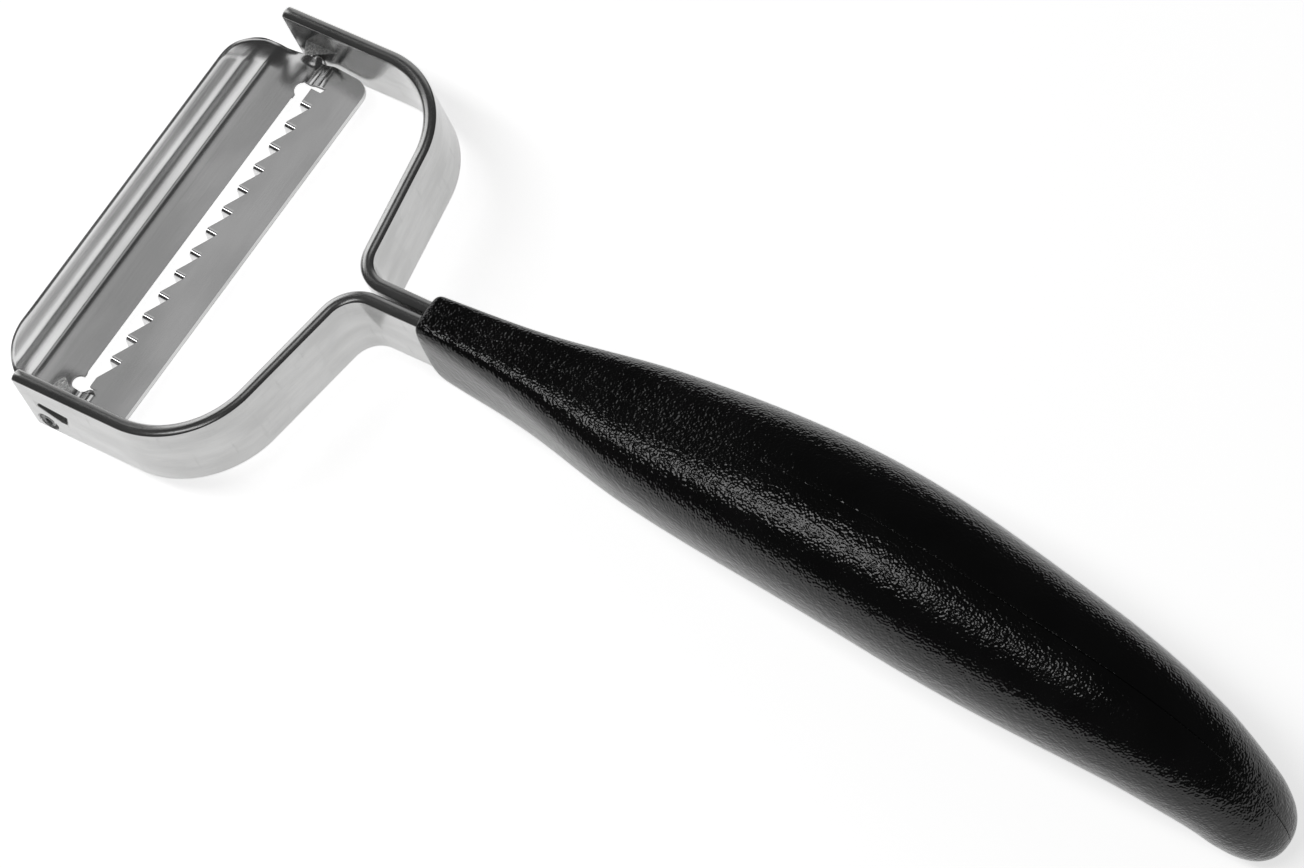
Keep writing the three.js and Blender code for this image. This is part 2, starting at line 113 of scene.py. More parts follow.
# Place across the guard and rise for each millimetre forwards: up to a crest, down, a second shoulder and down
GUARD_SLOPES = np.array([
    (-4.2, 0.0), (-4.9, 0.05), (-5.4, 0.12), (-5.8, 0.2), (-6.0, 0.18), (-6.25, -0.06), (-6.65, -0.26),
    (-7.1, -0.21), (-7.4, -0.165), (-7.85, -0.13), (-8.3, -0.08), (-8.6, -0.04), (-9.0, -0.03), (-9.3, -0.06),
    (-9.65, -0.19), (-9.95, -0.2), (-10.4, -0.13), (-10.8, -0.11), (-11.25, -0.105), (-11.7, -0.112),
    (-12.1, -0.125), (-12.4, -0.16), (-13.6, -0.17)])
CUT_EDGE = 0.35
TOOTH_TIP = 2.7
TOOTH_ROOT = 4.4
SLOT_END = 28.9
RELIEF = 1.2
SLIT = 0.9
FINS = 13
FIN_PLACES = 1.1 + 4.0 * (np.arange(FINS) - 6)
FIN_BEND = 0.42  # radius of the fold
FIN_HANG = 1.95  # straight drop at the tooth's tip, and how much shorter it is at the root
FIN_TAPER = 1.4
TRUNNION = 1.3
TRUNNION_END = 34.9
ROLL_FULL = 33.4  # where the rolled end has its full radius

HANDLE_LENGTH = 148.0
HANDLE_START = 0.8  # from the solid's front face
HANDLE_RISE = 0.3
HANDLE_TAIL = 9.6
FRONT_ROUND = 0.9
FRONT_LEAN = 2.6  # how far the front's lower corner is drawn back, and the run over which that fades
FRONT_LEAN_RUN = 3.5
BODY_SQUARENESS = 2.2  # exponent of the section's outline, what the front has more, and that one's run
FRONT_SQUARER = 3.7
SQUARER_RUN = 22.0
# Share of the length, half width and half depth of the section, downward slope of the middle line
HANDLE_SECTIONS = np.array([
    (0.00, 3.5, 7.3, 3.0),
    (0.12, 5.5, 7.9, 3.0),
    (0.26, 9.6, 8.6, 3.0),
    (0.42, 11.7, 10.5, 6.5),
    (0.58, 12.1, 11.6, 22.8),
    (0.74, 10.6, 10.5, 22.2),
    (0.86, 8.5, 8.9, 43.0),
    (0.95, 6.6, 6.8, 65.0),
    (1.00, 7.0, 6.6, 77.0),
])


def ease(x, start, end):
    """Smooth step: 0 before start, 1 after end, 3t^2 - 2t^3 between."""
    t = np.clip((x - start) / (end - start), 0, 1)
    return t * t * (3 - 2 * t)


def lay(points):
    """Head frame in millimetres to the row frame in metres: tipped back about Y, then shifted."""
    c, s = np.cos(TIP_BACK), np.sin(TIP_BACK)
    x, y, z = np.moveaxis(np.asarray(points, float), -1, 0)
    return (np.stack([x * c - z * s, y, x * s + z * c], -1) + HEAD_SHIFT) / 1000


def swing(points):
    """Blade frame (u, y, h) to the head frame: nose up about the pivot line."""
    c, s = np.cos(NOSE_UP), np.sin(NOSE_UP)
    u, y, h = np.moveaxis(np.asarray(points, float), -1, 0)
    return np.stack([PIVOT_X + u * c + h * s, y, PIVOT_Z - u * s + h * c], -1)


def weave(rows, columns, closed=False):
    """Quads of a grid of rows and columns, row by row; closed joins the last column to the first."""
    row, column = np.mgrid[0:rows - 1, 0:columns if closed else columns - 1]
    after = (column + 1) % columns
    corners = [row * columns + column, (row + 1) * columns + column, (row + 1) * columns + after]
    return np.stack([*corners, row * columns + after], -1).reshape(-1, 4)


def slab(upper, lower, quads):
    """Closed plate from an upper and a lower sheet of points with the same quads: the lower ones are turned
    over, and each edge that only one quad has gets a wall. Also says which faces are walls."""
    count = len(upper)
    edges = np.concatenate([quads[:, [k, (k + 1) % 4]] for k in range(4)])
    key = edges.min(1) * count + edges.max(1)
    _, first, uses = np.unique(key, return_index=True, return_counts=True)
    rim = edges[first[uses == 1]]
    walls = np.stack([rim[:, 1], rim[:, 0], rim[:, 0] + count, rim[:, 1] + count], -1)
    faces = np.concatenate([quads, quads[:, ::-1] + count, walls])
    return np.concatenate([upper, lower]), faces, np.arange(len(faces)) >= 2 * len(quads)


def add_piece(name, points, faces, finish, body, nodes, run=None, cut=None, sharp=38):
    """Mesh object from head-frame points in millimetres, smooth but for edges sharper than the angle given.
    Points that coincide are merged and all faces turned outwards. A point carries its run along and round the
    strip. A face carries its cut: 1 on a sheared edge, 0 on plain metal, below 0 on the fins, whose brighter
    and glossier finish there is a painted highlight."""
    mesh = bpy.data.meshes.new(name)
    mesh.from_pydata(lay(points).tolist(), [], faces)
    if run is not None:
        layer = mesh.attributes.new("run", "FLOAT_VECTOR", "POINT")
        layer.data.foreach_set("vector", np.asarray(run, float).ravel() / 1000)
    if cut is not None:
        layer = mesh.attributes.new("cut", "FLOAT", "FACE")
        layer.data.foreach_set("value", np.asarray(cut, float))
    work = bmesh.new()
    work.from_mesh(mesh)
    bmesh.ops.remove_doubles(work, verts=work.verts, dist=2e-7)
    bmesh.ops.recalc_face_normals(work, faces=work.faces)
    work.to_mesh(mesh)
    work.free()
    mesh.polygons.foreach_set("use_smooth", np.ones(len(mesh.polygons), bool))
    mesh.set_sharp_from_angle(angle=np.radians(sharp))
    mesh.update()
    mesh.materials.append(finish)
    piece = bpy.data.objects.new(name, mesh)
    bpy.context.collection.objects.link(piece)
    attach(piece, body)
    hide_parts(*nodes)
    return piece


# Finishes

class Wire:
    """A shader value. Arithmetic on it adds Math nodes."""

    def __init__(self, finish, socket):
        self.finish = finish
        self.socket = socket

    def math(self, operation, *values, clamp=False):
        settings = {"operation": operation, "use_clamp": clamp}
        return self.finish.node("ShaderNodeMath", settings, dict(enumerate(values)))

    def __add__(self, other):
        return self.math("ADD", self, other)

    __radd__ = __add__

    def __sub__(self, other):
        return self.math("SUBTRACT", self, other)

    def __rsub__(self, other):
        return self.math("SUBTRACT", other, self)

    def __mul__(self, other):
        return self.math("MULTIPLY", self, other)

    __rmul__ = __mul__

    def held(self):
        """The value held between 0 and 1."""
        return self.math("ADD", self, 0.0, clamp=True)

    def between(self, low, high):
        """0 at low, 1 at high, smooth between."""
        settings = {"interpolation_type": "SMOOTHSTEP"}
        sockets = {"Value": self, "From Min": low, "From Max": high}
        return self.finish.node("ShaderNodeMapRange", settings, sockets, "Result")


class Finish:
    """A node material being made, with one method for every node."""

    def __init__(self, name):
        self.material = bpy.data.materials.new(name)
        self.material.use_nodes = True
        self.tree = self.material.node_tree
        self.shader = self.tree.nodes["Principled BSDF"]

    def node(self, kind, settings=None, sockets=None, result=0):
        """Adds a node: settings first, then the values or links of its sockets; gives one output back."""
        made = self.tree.nodes.new(kind)
        for key, value in (settings or {}).items():
            setattr(made, key, value)
        for key, value in (sockets or {}).items():
            self.join(made.inputs[key], value)
        return Wire(self, made.outputs[result])

    def join(self, socket, value):
        if isinstance(value, Wire):
            self.tree.links.new(value.socket, socket)
        else:
            socket.default_value = value

    def surface(self, **sockets):
        """Sets the shader's sockets: Base_Color stands for Base Color."""
        for key, value in sockets.items():
            self.join(self.shader.inputs[key.replace("_", " ")], value)
        return self.material

    def place(self, source, scale):
        """Coordinates times a scale for each axis."""
        settings = {"operation": "MULTIPLY"}
        return self.node("ShaderNodeVectorMath", settings, {0: source, 1: scale}, "Vector")

    def objects(self):
        return self.node("ShaderNodeTexCoord", result="Object")

    def run(self):
        return self.node("ShaderNodeAttribute", {"attribute_name": "run"}, result="Vector")

    def cut(self):
        return self.node("ShaderNodeAttribute", {"attribute_name": "cut"}, result="Fac")

    def noise(self, where, detail=3.0, rough=0.5, scale=1.0):
        sockets = {"Vector": where, "Scale": scale, "Detail": detail, "Roughness": rough}
        return self.node("ShaderNodeTexNoise", None, sockets, "Fac")

    def tint(self, mask, low, high):
        """Colour mixed from low to high by a mask."""
        low, high = (end if isinstance(end, Wire) else (*end, 1) for end in (low, high))
        return self.node("ShaderNodeMix", {"data_type": "RGBA"}, {0: mask, 6: low, 7: high}, 2)

    def bump(self, height, depth, strength=1.0):
        sockets = {"Height": height, "Distance": depth, "Strength": strength}
        return self.node("ShaderNodeBump", None, sockets, "Normal")


def strip_steel():
    """Drawn flat wire: satin lines along the strip, faint rubs across it, and a pale rough grain where it is
    sheared."""
    steel = Finish("strip_steel")
    run, cut = steel.run(), steel.cut()
    lines = steel.noise(steel.place(run, (40.0, 4200.0, 0.0)), 3.0, 0.6)
    broad = steel.noise(steel.place(run, (70.0, 260.0, 0.0)), 4.0, 0.55)
    rubs = steel.noise(steel.place(run, (900.0, 150.0, 0.0)), 5.0, 0.65).between(0.56, 0.74)
    grain = steel.noise(steel.objects(), 2.0, 0.6, 2600.0).between(0.3, 0.7)
    rough = 0.13 + 0.08 * lines + 0.09 * broad + 0.06 * rubs + 0.24 * cut
    shade = (broad.between(0.3, 0.7) * 0.6 + lines * 0.4 - rubs * 0.25).held()
    drawn = steel.tint(shade, (0.425, 0.425, 0.422), (0.58, 0.58, 0.576))
    colour = steel.tint(cut, drawn, steel.tint(grain, (0.55, 0.55, 0.55), (1.0, 1.0, 0.99)))
    height = (1 - cut) * (lines * 0.8 + rubs * 0.3) + cut * grain * 14.0
    return steel.surface(
        Base_Color=colour, Metallic=1.0, Roughness=rough, Normal=steel.bump(height, 0.000010, 0.7))


def blade_steel():
    """Rolled sheet: very fine lines along the blade, even satin, dark and rough on the cut edges, brighter and
    glossier on the fins, where the lighter colour paints in a highlight on their bends."""
    steel = Finish("blade_steel")
    where, cut = steel.objects(), steel.cut()
    lines = steel.noise(steel.place(where, (5200.0, 60.0, 5200.0)), 2.0, 0.6)
    broad = steel.noise(steel.place(where, (90.0, 40.0, 90.0)), 3.0, 0.5)
    rough = 0.15 + 0.05 * lines + 0.05 * broad + 0.25 * cut
    # On the fins the cut value is below 0, which lifts the colour to its top and lowers the roughness: a painted
    # highlight.
    shade = (broad.between(0.3, 0.7) * 0.35 + 0.65) * (1 - cut)
    colour = steel.tint(shade, (0.16, 0.16, 0.16), (0.62, 0.62, 0.62))
    return steel.surface(
        Base_Color=colour, Metallic=1.0, Roughness=rough, Normal=steel.bump(lines, 0.000006, 0.5))


def handle_plastic():
    """Black moulded plastic with a fine spark-eroded grain: small dots of uneven height over a coarser one."""
    plastic = Finish("handle_plastic")
    where = plastic.objects()
    dots = plastic.noise(where, 0.0, 0.5, 2900.0)
    coarse = plastic.noise(where, 0.0, 0.5, 1000.0)
    broad = plastic.noise(where, 3.0, 0.5, 120.0)
    rough = 0.1 + 0.06 * dots + 0.04 * broad
    colour = plastic.tint(broad.between(0.3, 0.7), (0.0012, 0.0012, 0.0013), (0.0035, 0.0035, 0.0036))
    height = dots + 0.8 * coarse
    return plastic.surface(
        Base_Color=colour, Roughness=rough, IOR=1.48, Normal=plastic.bump(height, 0.000082, 1.0))


def floor_white():
    """Pale matt floor, lit from below like a light table."""
    floor = Finish("floor_white")
    tone = floor.noise(floor.objects(), 2.0, 0.5, 3.0)
    glow = floor.tint(tone, (0.97, 0.97, 0.97), (1.0, 1.0, 1.0))
    return floor.surface(Base_Color=glow, Roughness=0.9, Emission_Color=glow, Emission_Strength=0.72)


# Strip arms

def strip_path():
    """Middle line of the right arm in plan, as arrays of X, Y, the outward normal's X and Y and the length so
    far: a straight run, a shoulder arc inwards, a straight diagonal, a neck arc back and a straight leg."""
    arm_y = (YOKE_WIDTH - STRIP_THICKNESS) / 2
    leg_y = (LEG_GAP + STRIP_THICKNESS) / 2
    both = SHOULDER_RADIUS + NECK_RADIUS
    turn = SHOULDER_TURN
    drop = both * (1 - np.cos(turn))
    diagonal = (arm_y - leg_y - drop) / np.sin(turn)
    neck_x = ARM_LENGTH + both * np.sin(turn) + diagonal * np.cos(turn)
    near = np.concatenate([HOLE_LINES, np.linspace(5.0, 9.4, 23), [9.9, 11, 14, 17.5]])
    straight = np.stack([near, np.full(near.size, arm_y), np.zeros(near.size)], -1)
    a = np.linspace(0, turn, 44)
    shoulder = np.stack([
        ARM_LENGTH + SHOULDER_RADIUS * np.sin(a), arm_y - SHOULDER_RADIUS * (1 - np.cos(a)), a], -1)
    t = np.linspace(0, 1, 8)[1:-1, None]
    end = shoulder[-1]
    across = end + t * diagonal * np.array([np.cos(turn), -np.sin(turn), 0])
    b = np.linspace(turn, 0, 30)
    neck = np.stack([
        neck_x - NECK_RADIUS * np.sin(b), leg_y + NECK_RADIUS * (1 - np.cos(b)), b], -1)
    far = np.concatenate([np.linspace(neck_x + 1.2, HANDLE_FRONT + 4, 7), [70, TANG_END - 0.3]])
    leg = np.stack([far, np.full(far.size, leg_y), np.zeros(far.size)], -1)
    path = np.concatenate([straight, shoulder, across, neck, leg])
    length = np.concatenate([[0], np.cumsum(np.hypot(*np.diff(path[:, :2], axis=0).T))]) + path[0, 0]
    return path[:, 0], path[:, 1], np.sin(path[:, 2]), np.cos(path[:, 2]), length


def strip_profile():
    """Strip section as rows of (offset, z), offset above 0 outside: heights up the outer face, a crowned top
    edge, the same heights down the inner face and a crowned lower edge. The crown is a mix of a sine and its
    square. The stop's top height comes twice."""
    hole = PIVOT_Z + HOLE_RADIUS * np.linspace(-1, 1, HOLE_STEPS + 1)
    stop = np.linspace(HOLLOW_FOOT, STOP_TOP, STOP_STEPS + 1)
    above = [STOP_TOP, 1.6, 2.6, 4.0, FLAT_HALF - 0.2, FLAT_HALF]
    heights = np.concatenate([[-FLAT_HALF], hole, stop, above])
    half = STRIP_THICKNESS / 2
    a = np.linspace(0, np.pi, EDGE_POINTS + 2)[1:-1]
    crown = FLAT_HALF + STRIP_EDGE * (0.35 * np.sin(a) + 0.65 * np.sin(a) ** 2)
    top = np.stack([np.cos(a) * half, crown], -1)
    low = np.stack([-np.cos(a) * half, -crown], -1)
    outer = np.stack([np.full(heights.size, half), heights], -1)
    inner = np.stack([np.full(heights.size, -half), heights[::-1]], -1)
    return np.concatenate([outer, top, inner, low]), heights


def stop_push(x, z, reach):
    """How far the punch has pushed the inner face: a tent that is 0 on the two lower edges of a triangle and
    rises to the full reach near its apex on the sheared top edge."""
    left, right, apex = PIVOT_X, PIVOT_X + STOP_LENGTH, PIVOT_X + STOP_APEX
    drop = (STOP_TOP - z) / STOP_DEPTH
    front = (x - (left + (STOP_FOOT - left) * drop)) / (apex - left)
    back = ((right + (STOP_FOOT - right) * drop) - x) / (right - apex)
    return reach * np.clip(1.04 * np.minimum(front, back), 0, 1) ** 0.8


def stop_hollow(x, z):
    """Depth of the punched hollow in the outer face: rises evenly with the least of the distances from a steep
    left side, a slanting lower side, a leaning right side and a level foot, softly at first, up to its full
    depth."""
    left = 6 * (x - 2.75)
    lower = 0.884 * z + 0.466 * (x - 2.86)
    right = 0.957 * (8.75 - x) + 0.286 * (z - 0.85)
    foot = z - HOLLOW_FOOT
    inside = np.minimum(np.minimum(left, right), np.minimum(lower, foot))
    return np.clip(0.62 * (inside + np.sqrt(inside ** 2 + 0.004)) * (inside > -0.3), 0, HOLLOW_DEEP)


def strip_arm(side, reach):
    """An arm: the strip's section carried along its path, the tip closed with a rounded cut, the pivot hole let
    into both faces by drawing the grid's square round it to a circle, flared outside, and the stop pressed
    inwards by a reach."""
    x, y, nx, ny, length = strip_path()
    profile, heights = strip_profile()
    count, tall = len(profile), len(heights)
    normal_off, z = profile[:, 0], profile[:, 1]
    xs = np.repeat(x[:, None], count, 1)
    zs = np.repeat(z[None], len(x), 0)
    off = np.repeat(normal_off[None], len(x), 0)
    # Square to circle round the hole, on the two flat faces of the straight arm
    dx, dz = xs - PIVOT_X, zs - PIVOT_Z
    square = np.maximum(np.abs(dx), np.abs(dz))
    pull = np.clip((HOLE_BLEND - square) / (HOLE_BLEND - HOLE_RADIUS), 0, 1)
    pull = np.where(np.abs(zs) < FLAT_HALF - 1e-6, pull, 0)
    radius = np.hypot(dx, dz) + 1e-9
    index = np.arange(count)
    outside = index < tall
    flare = np.where(outside, HOLE_FLARE, 1.0)
    grow = 1 + pull * (flare * square / radius - 1)
    near = (xs < 6) & (np.abs(zs) <= FLAT_HALF)
    xs = np.where(near, PIVOT_X + dx * grow, xs)
    zs = np.where(near, PIVOT_Z + dz * grow, zs)
    # The stop: rows below the sheared edge move, the upper copy of that edge stays; outside, the rows near that
    # edge slant
    first_inner = tall + EDGE_POINTS
    inside = (index >= first_inner) & (index < first_inner + tall)
    level = np.where(outside, index, np.where(inside, tall - 1 - (index - first_inner), -1))
    below = (level >= 0) & (level < STOP_ROW)
    near_edge = np.exp(-((zs - STOP_TOP) / 1.3) ** 2) * (1 - ease(xs, 9.3, 12.0))
    slant = SHEAR_SLANT * np.clip(5.9 - xs, -3.2, 3.2) * near_edge
    zs = zs + np.where(outside & (level > HOLE_STEPS + 1), slant, 0)
    push = np.where(outside, stop_hollow(xs, zs), stop_push(xs, zs, reach))
    push = np.where(below & (xs < 9.6), push, 0)
    base = np.stack([xs + off * nx[:, None], y[:, None] + off * ny[:, None] - push, zs], -1)
    # Rounded cut at the tip: rows drawn in towards the section's middle
    a = np.linspace(0, np.pi / 2, TIP_ROWS)
    draw = 0.5 * (1 - np.sin(a))[:, None]
    tip_x = np.repeat((0.5 * (1 - np.cos(a)))[:, None], count, 1)
    tip_y = y[0] + off[0] * (1 - draw)
    tip_z = z * (1 - draw / (STRIP_WIDTH / 2))
    points = np.concatenate([np.stack([tip_x, tip_y, tip_z], -1), base])
    rows = len(points)
    quads = weave(rows, count, closed=True)
    # Leave out the hole's square on both faces, then join the two rims with the hole's wall
    row, column = np.divmod(np.arange(len(quads)), count)
    grid_row = row - TIP_ROWS
    grid_level = level[column]
    inner_face = (column >= first_inner) & (column < first_inner + tall - 1)
    low_level = np.where(inner_face, grid_level - 1, grid_level)
    in_hole = (grid_row >= 0) & (grid_row < HOLE_STEPS) & (low_level >= 1) & (low_level < HOLE_STEPS + 1)
    in_hole &= (column < tall - 1) | inner_face
    quads = quads[~in_hole]
    up, full = np.arange(HOLE_STEPS), np.full(HOLE_STEPS, HOLE_STEPS)
    loop_row = np.concatenate([up, full, full - up, 0 * up]) + TIP_ROWS
    loop_level = np.concatenate([0 * up, up, full, full - up]) + 1
    outer_rim = loop_row * count + loop_level
    inner_rim = loop_row * count + first_inner + tall - 1 - loop_level
    wall = np.stack([outer_rim, np.roll(outer_rim, -1), np.roll(inner_rim, -1), inner_rim], -1)
    # Flat end of the tip and of the tang
    k = np.arange(tall - 1)
    pair = first_inner + tall - 1 - k
    tip = np.stack([k, k + 1, pair - 1, pair], -1)
    top = np.arange(tall - 1, first_inner + 1)
    low = np.append(np.arange(first_inner + tall - 1, count), 0)
    starts = 0, (rows - 1) * count
    ends = [(face + start).tolist() for start in starts for face in (*tip, top, low)]
    around = np.concatenate([[0], np.cumsum(np.hypot(*np.diff(profile, axis=0).T))])
    along = np.concatenate([np.zeros(TIP_ROWS), length])
    run = np.stack(np.broadcast_arrays(along[:, None], around[None], np.zeros((rows, count))), -1)
    # Cut faces: the sheared top of the stop on both sides and the hole's wall
    struck = np.concatenate([np.zeros((TIP_ROWS, count)), push]).ravel()[quads].max(1) > 0.02
    column = quads[:, 0] % count
    sheared = np.maximum(level[column], level[quads[:, 2] % count]) == STOP_ROW
    cut = np.concatenate([struck & sheared, np.ones(len(wall)), np.zeros(len(ends))])
    points = points.reshape(-1, 3) * [1, side, 1]
    return points, quads.tolist() + wall.tolist() + ends, run.reshape(-1, 3), cut


# Blade

def guard_profile(u):
    """Height across the guard: the running sum, from the flat forwards, of slopes that go straight from station
    to station."""
    fine = np.linspace(GUARD_SLOPES[0, 0], GUARD_SLOPES[-1, 0], 1801)
    slope = np.interp(-fine, -GUARD_SLOPES[:, 0], GUARD_SLOPES[:, 1])
    rise = np.concatenate([[0], np.cumsum((slope[1:] + slope[:-1]) / 2 * (fine[0] - fine[1]))])
    return np.interp(-u, -fine, rise)


def guard_depth(u, y):
    """Distance from the guard's outline inwards: from its front and ends, and from the arc at each corner."""
    radius = np.where(y < 0, *GUARD_CORNERS)
    along, across = GUARD_FRONT + radius - u, np.abs(y) - BLADE_END + radius
    corner = radius - np.hypot(along, across)
    return np.where((along > 0) & (across > 0), corner, radius - np.maximum(along, across))


def sheet_height(u, y):
    """Middle surface of the sheet: the guard's profile, lower towards both ends, a short lip round the guard's
    outline, a curl down at its right end that grows with the power 1.5 of the distance, a smooth step up to the
    bar, steep in the slot and eased in the end bridges, and a swelling on the pivot line, a squared cosine
    across, that grows towards each rolled end."""
    inner = guard_depth(u, y)
    to_end = BLADE_END - y - 0.4 * np.clip(-7 - u, 0, 6)
    fade = 1 - 0.35 * (1 - ease(to_end, 0.2, 3.2)) - 0.7 * ease(-y, 28.0, 33.0)
    on_guard = ease(-u, 2.0, 6.0)
    left = ease(-y, 20.0, 27.0)
    lip = (GUARD_LIP - 0.08 * left) * (1 - ease(inner, -0.15, 0.85 - 0.3 * left))
    curl = GUARD_CURL * np.clip(1 - to_end / CURL_RUN, 0, 1.1) ** 1.5
    end = 2.6 + 1.5 * ease(np.abs(y), SLOT_END - SLIT, SLOT_END)
    flank = np.where(u < -0.1, 3.6, 2.3)
    swell = roll_rise(np.abs(y)) * np.cos(np.clip(np.abs(u + 0.1) / flank, 0, 1) * np.pi / 2) ** 2
    return guard_profile(u) * fade - (lip + curl) * on_guard + BAR_RISE * ease(u, 1.0, end) + swell


def roll_rise(y):
    """Height of the swelling on the pivot line: a low rise past the slot's end, then up to the trunnion."""
    return 0.3 * ease(y, 25.5, 30.0) + 0.7 * ease(y, 31.0, ROLL_FULL)


def tooth_line(y):
    """Front edge of the bar: for each fin a step back to the root, then a slant forward to the next tip; at the
    slot's ends the edge runs back into a slit."""
    begin = [FIN_PLACES[0] - 3.4]
    ends = [np.array([v, v + 0.45, v + 0.5, v + 0.62]) for v in FIN_PLACES]
    at = np.concatenate([[-60.0], begin, *ends, [60.0]])
    back = np.array([TOOTH_ROOT, TOOTH_ROOT, TOOTH_TIP, TOOTH_TIP])
    line = np.interp(y, at, np.concatenate([[TOOTH_TIP] * 2, *[back] * FINS, [TOOTH_TIP]]))
    into = (np.abs(y) - SLOT_END + SLIT) / SLIT
    slit = np.where(y > 0, 4.3 + 0.4 * into, 4.0 - 2.6 * into)
    return np.where((into > 0) & (into < 1), slit, line), at


def corner_edge(y, flat, radii):
    """Outline of the sheet along its length: straight at flat, with a quarter circle at each end."""
    radius = np.where(y < 0, radii[0], radii[1])
    into = np.clip(np.abs(y) - (BLADE_END - radius), 0, radius)
    return flat - np.sign(flat) * (radius - np.sqrt(np.clip(radius ** 2 - into ** 2, 0, None)))


def sheet_plate():
    """The stamped sheet: columns along the blade, rows across it from the guard's outline to the cutting edge,
    over the slot (kept only in the end bridges) and from the teeth to the bar's rear outline."""
    _, breaks = tooth_line(np.zeros(1))
    end = BLADE_END - 5.6 * (1 - np.cos(np.linspace(0, np.pi / 2, 30)))
    rest = np.linspace(-27, 27, 109)
    gate = np.array([SLOT_END - 0.02, SLOT_END + 0.02, SLOT_END - SLIT, SLOT_END - SLIT - 0.04])
    relief = SLOT_END - RELIEF - RELIEF * np.cos(np.linspace(0, np.pi, 13))
    side = np.concatenate([end, gate, relief, np.linspace(SLOT_END - SLIT, SLOT_END, 9)])
    corner = -BLADE_END + GUARD_CORNERS[0] * (1 - np.cos(np.linspace(0, 1.5, 26)))
    y = np.unique(np.round(np.concatenate([side, -side, rest, breaks[1:-1], corner]), 3))
    y = y[np.abs(y) <= BLADE_END]
    back, _ = tooth_line(y)
    middle = SLOT_END - RELIEF
    bite = np.sqrt(np.clip(RELIEF ** 2 - (np.abs(y) - middle) ** 2, 0, None))
    front = np.where(bite > 0, np.minimum(CUT_EDGE, np.where(y > 0, 0.9, 0.4) - bite), CUT_EDGE)
    guard = corner_edge(y, GUARD_FRONT, GUARD_CORNERS)
    rear = corner_edge(y, BAR_REAR, (BAR_CORNER, BAR_CORNER))
    guard_steps, slot_steps, bar_steps = 75, 13, 23
    g = np.linspace(0, 1, guard_steps + 1)[:, None]
    o = np.linspace(0, 1, slot_steps + 1)[1:-1, None]
    b = np.linspace(0, 1, bar_steps + 1)[:, None]
    land = rear - GRIND
    bar = [back + (land - back) * b, rear[None]]
    u = np.concatenate([guard + (front - guard) * g, front + (back - front) * o, *bar])
    rows, columns = u.shape
    ys = np.repeat(y[None], rows, 0)
    h = sheet_height(u, ys)
    bevel = GRIND_DEPTH * np.clip((u - land) / GRIND, 0, 1) * (u > TOOTH_ROOT + 0.6)
    under_edge = (np.abs(ys) < 26) * (u <= CUT_EDGE + 1e-6)
    ground = EDGE_GRIND_DEPTH * np.clip((u - front + EDGE_GRIND) / EDGE_GRIND, 0, 1) * under_edge
    upper = np.stack([u, ys, h + SHEET / 2 - bevel], -1).reshape(-1, 3)
    lower = np.stack([u, ys, h - SHEET / 2 + ground], -1).reshape(-1, 3)
    quads = weave(rows, columns)
    row, column = np.divmod(np.arange(len(quads)), columns - 1)
    centre = (y[:-1] + y[1:]) / 2
    in_slot = (row >= guard_steps) & (row < guard_steps + slot_steps)
    open_slot = in_slot & (np.abs(centre[column]) < SLOT_END)
    return slab(upper, lower, quads[~open_slot])


def fin_plates():
    """The slitting fins: each a strip from the flank of its tooth over a quarter round bend and straight down,
    long at the tip and short at the root, given thickness along its own normal."""
    rows, turn_points, drop_points = 7, 9, 6
    columns = 1 + turn_points + drop_points
    a = np.linspace(0, 1, rows)[:, None]
    turn = np.linspace(0, np.pi / 2, turn_points)[None]
    u = TOOTH_TIP + (TOOTH_ROOT - TOOTH_TIP) * a
    hang = FIN_HANG - FIN_TAPER * a
    drop = np.linspace(0, 1, drop_points + 1)[None, 1:]
    across = np.concatenate([[[0.22]], -FIN_BEND * np.sin(turn), np.full((1, drop_points), -FIN_BEND)], 1)
    fall = np.concatenate([[[0.0]], FIN_BEND * np.cos(turn) - FIN_BEND], 1)
    shift = np.repeat(across, rows, 0) + 0.5
    high = np.concatenate([np.repeat(fall, rows, 0), -FIN_BEND - drop * hang], 1)
    lean = np.concatenate([[0.0], turn[0], np.full(drop_points, np.pi / 2)])
    thin = np.stack([np.zeros(columns), -np.sin(lean), np.cos(lean)], -1) * SHEET / 2
    sheet = np.stack([np.repeat(u, columns, 1), shift, BAR_RISE + 0.012 + high], -1)
    upper, lower = (sheet + thin).reshape(-1, 3), (sheet - thin).reshape(-1, 3)
    points, faces, walls = slab(upper, lower, weave(rows, columns))
    place = np.zeros((FINS, 1, 3))
    place[:, 0, 1] = FIN_PLACES
    every = np.arange(FINS)[:, None, None] * len(points)
    # Cut walls get 1; the fin's other faces get -0.35, a brighter, glossier finish that is a painted highlight.
    cut_or_painted_sheen = np.where(walls, 1.0, -0.35)
    points = swing((points[None] + place).reshape(-1, 3))
    return points, (faces[None] + every).reshape(-1, 4).tolist(), np.tile(cut_or_painted_sheen, FINS)


def trunnion_rolls():
    """Rolled ends: an open tube on the pivot line at each end of the sheet, its seam below. Its radius grows
    with the sheet's swelling, just under it, to the full trunnion."""
    seam, around = 0.6, 40
    a = np.linspace(-np.pi / 2 + seam, 1.5 * np.pi - seam, around)[:, None]
    y = np.concatenate([np.linspace(30.5, ROLL_FULL, 14), np.linspace(ROLL_FULL + 0.1, TRUNNION_END, 10)])[None]
    swell = SHEET / 2 - 0.03 + (TRUNNION - SHEET / 2) * roll_rise(y)
    outer = swell - 0.12 * ease(y, TRUNNION_END - 0.25, TRUNNION_END)
    radius = np.stack([outer, np.maximum(swell - SHEET, 0.05)])
    tube = np.stack(np.broadcast_arrays(radius * np.cos(a), y, radius * np.sin(a)), -1)
    points, faces, walls = slab(tube[0].reshape(-1, 3), tube[1].reshape(-1, 3), weave(around, y.size))
    both = np.concatenate([points, points * [1, -1, 1]])
    return both, np.concatenate([faces, faces + len(points)]), np.tile(walls, 2)


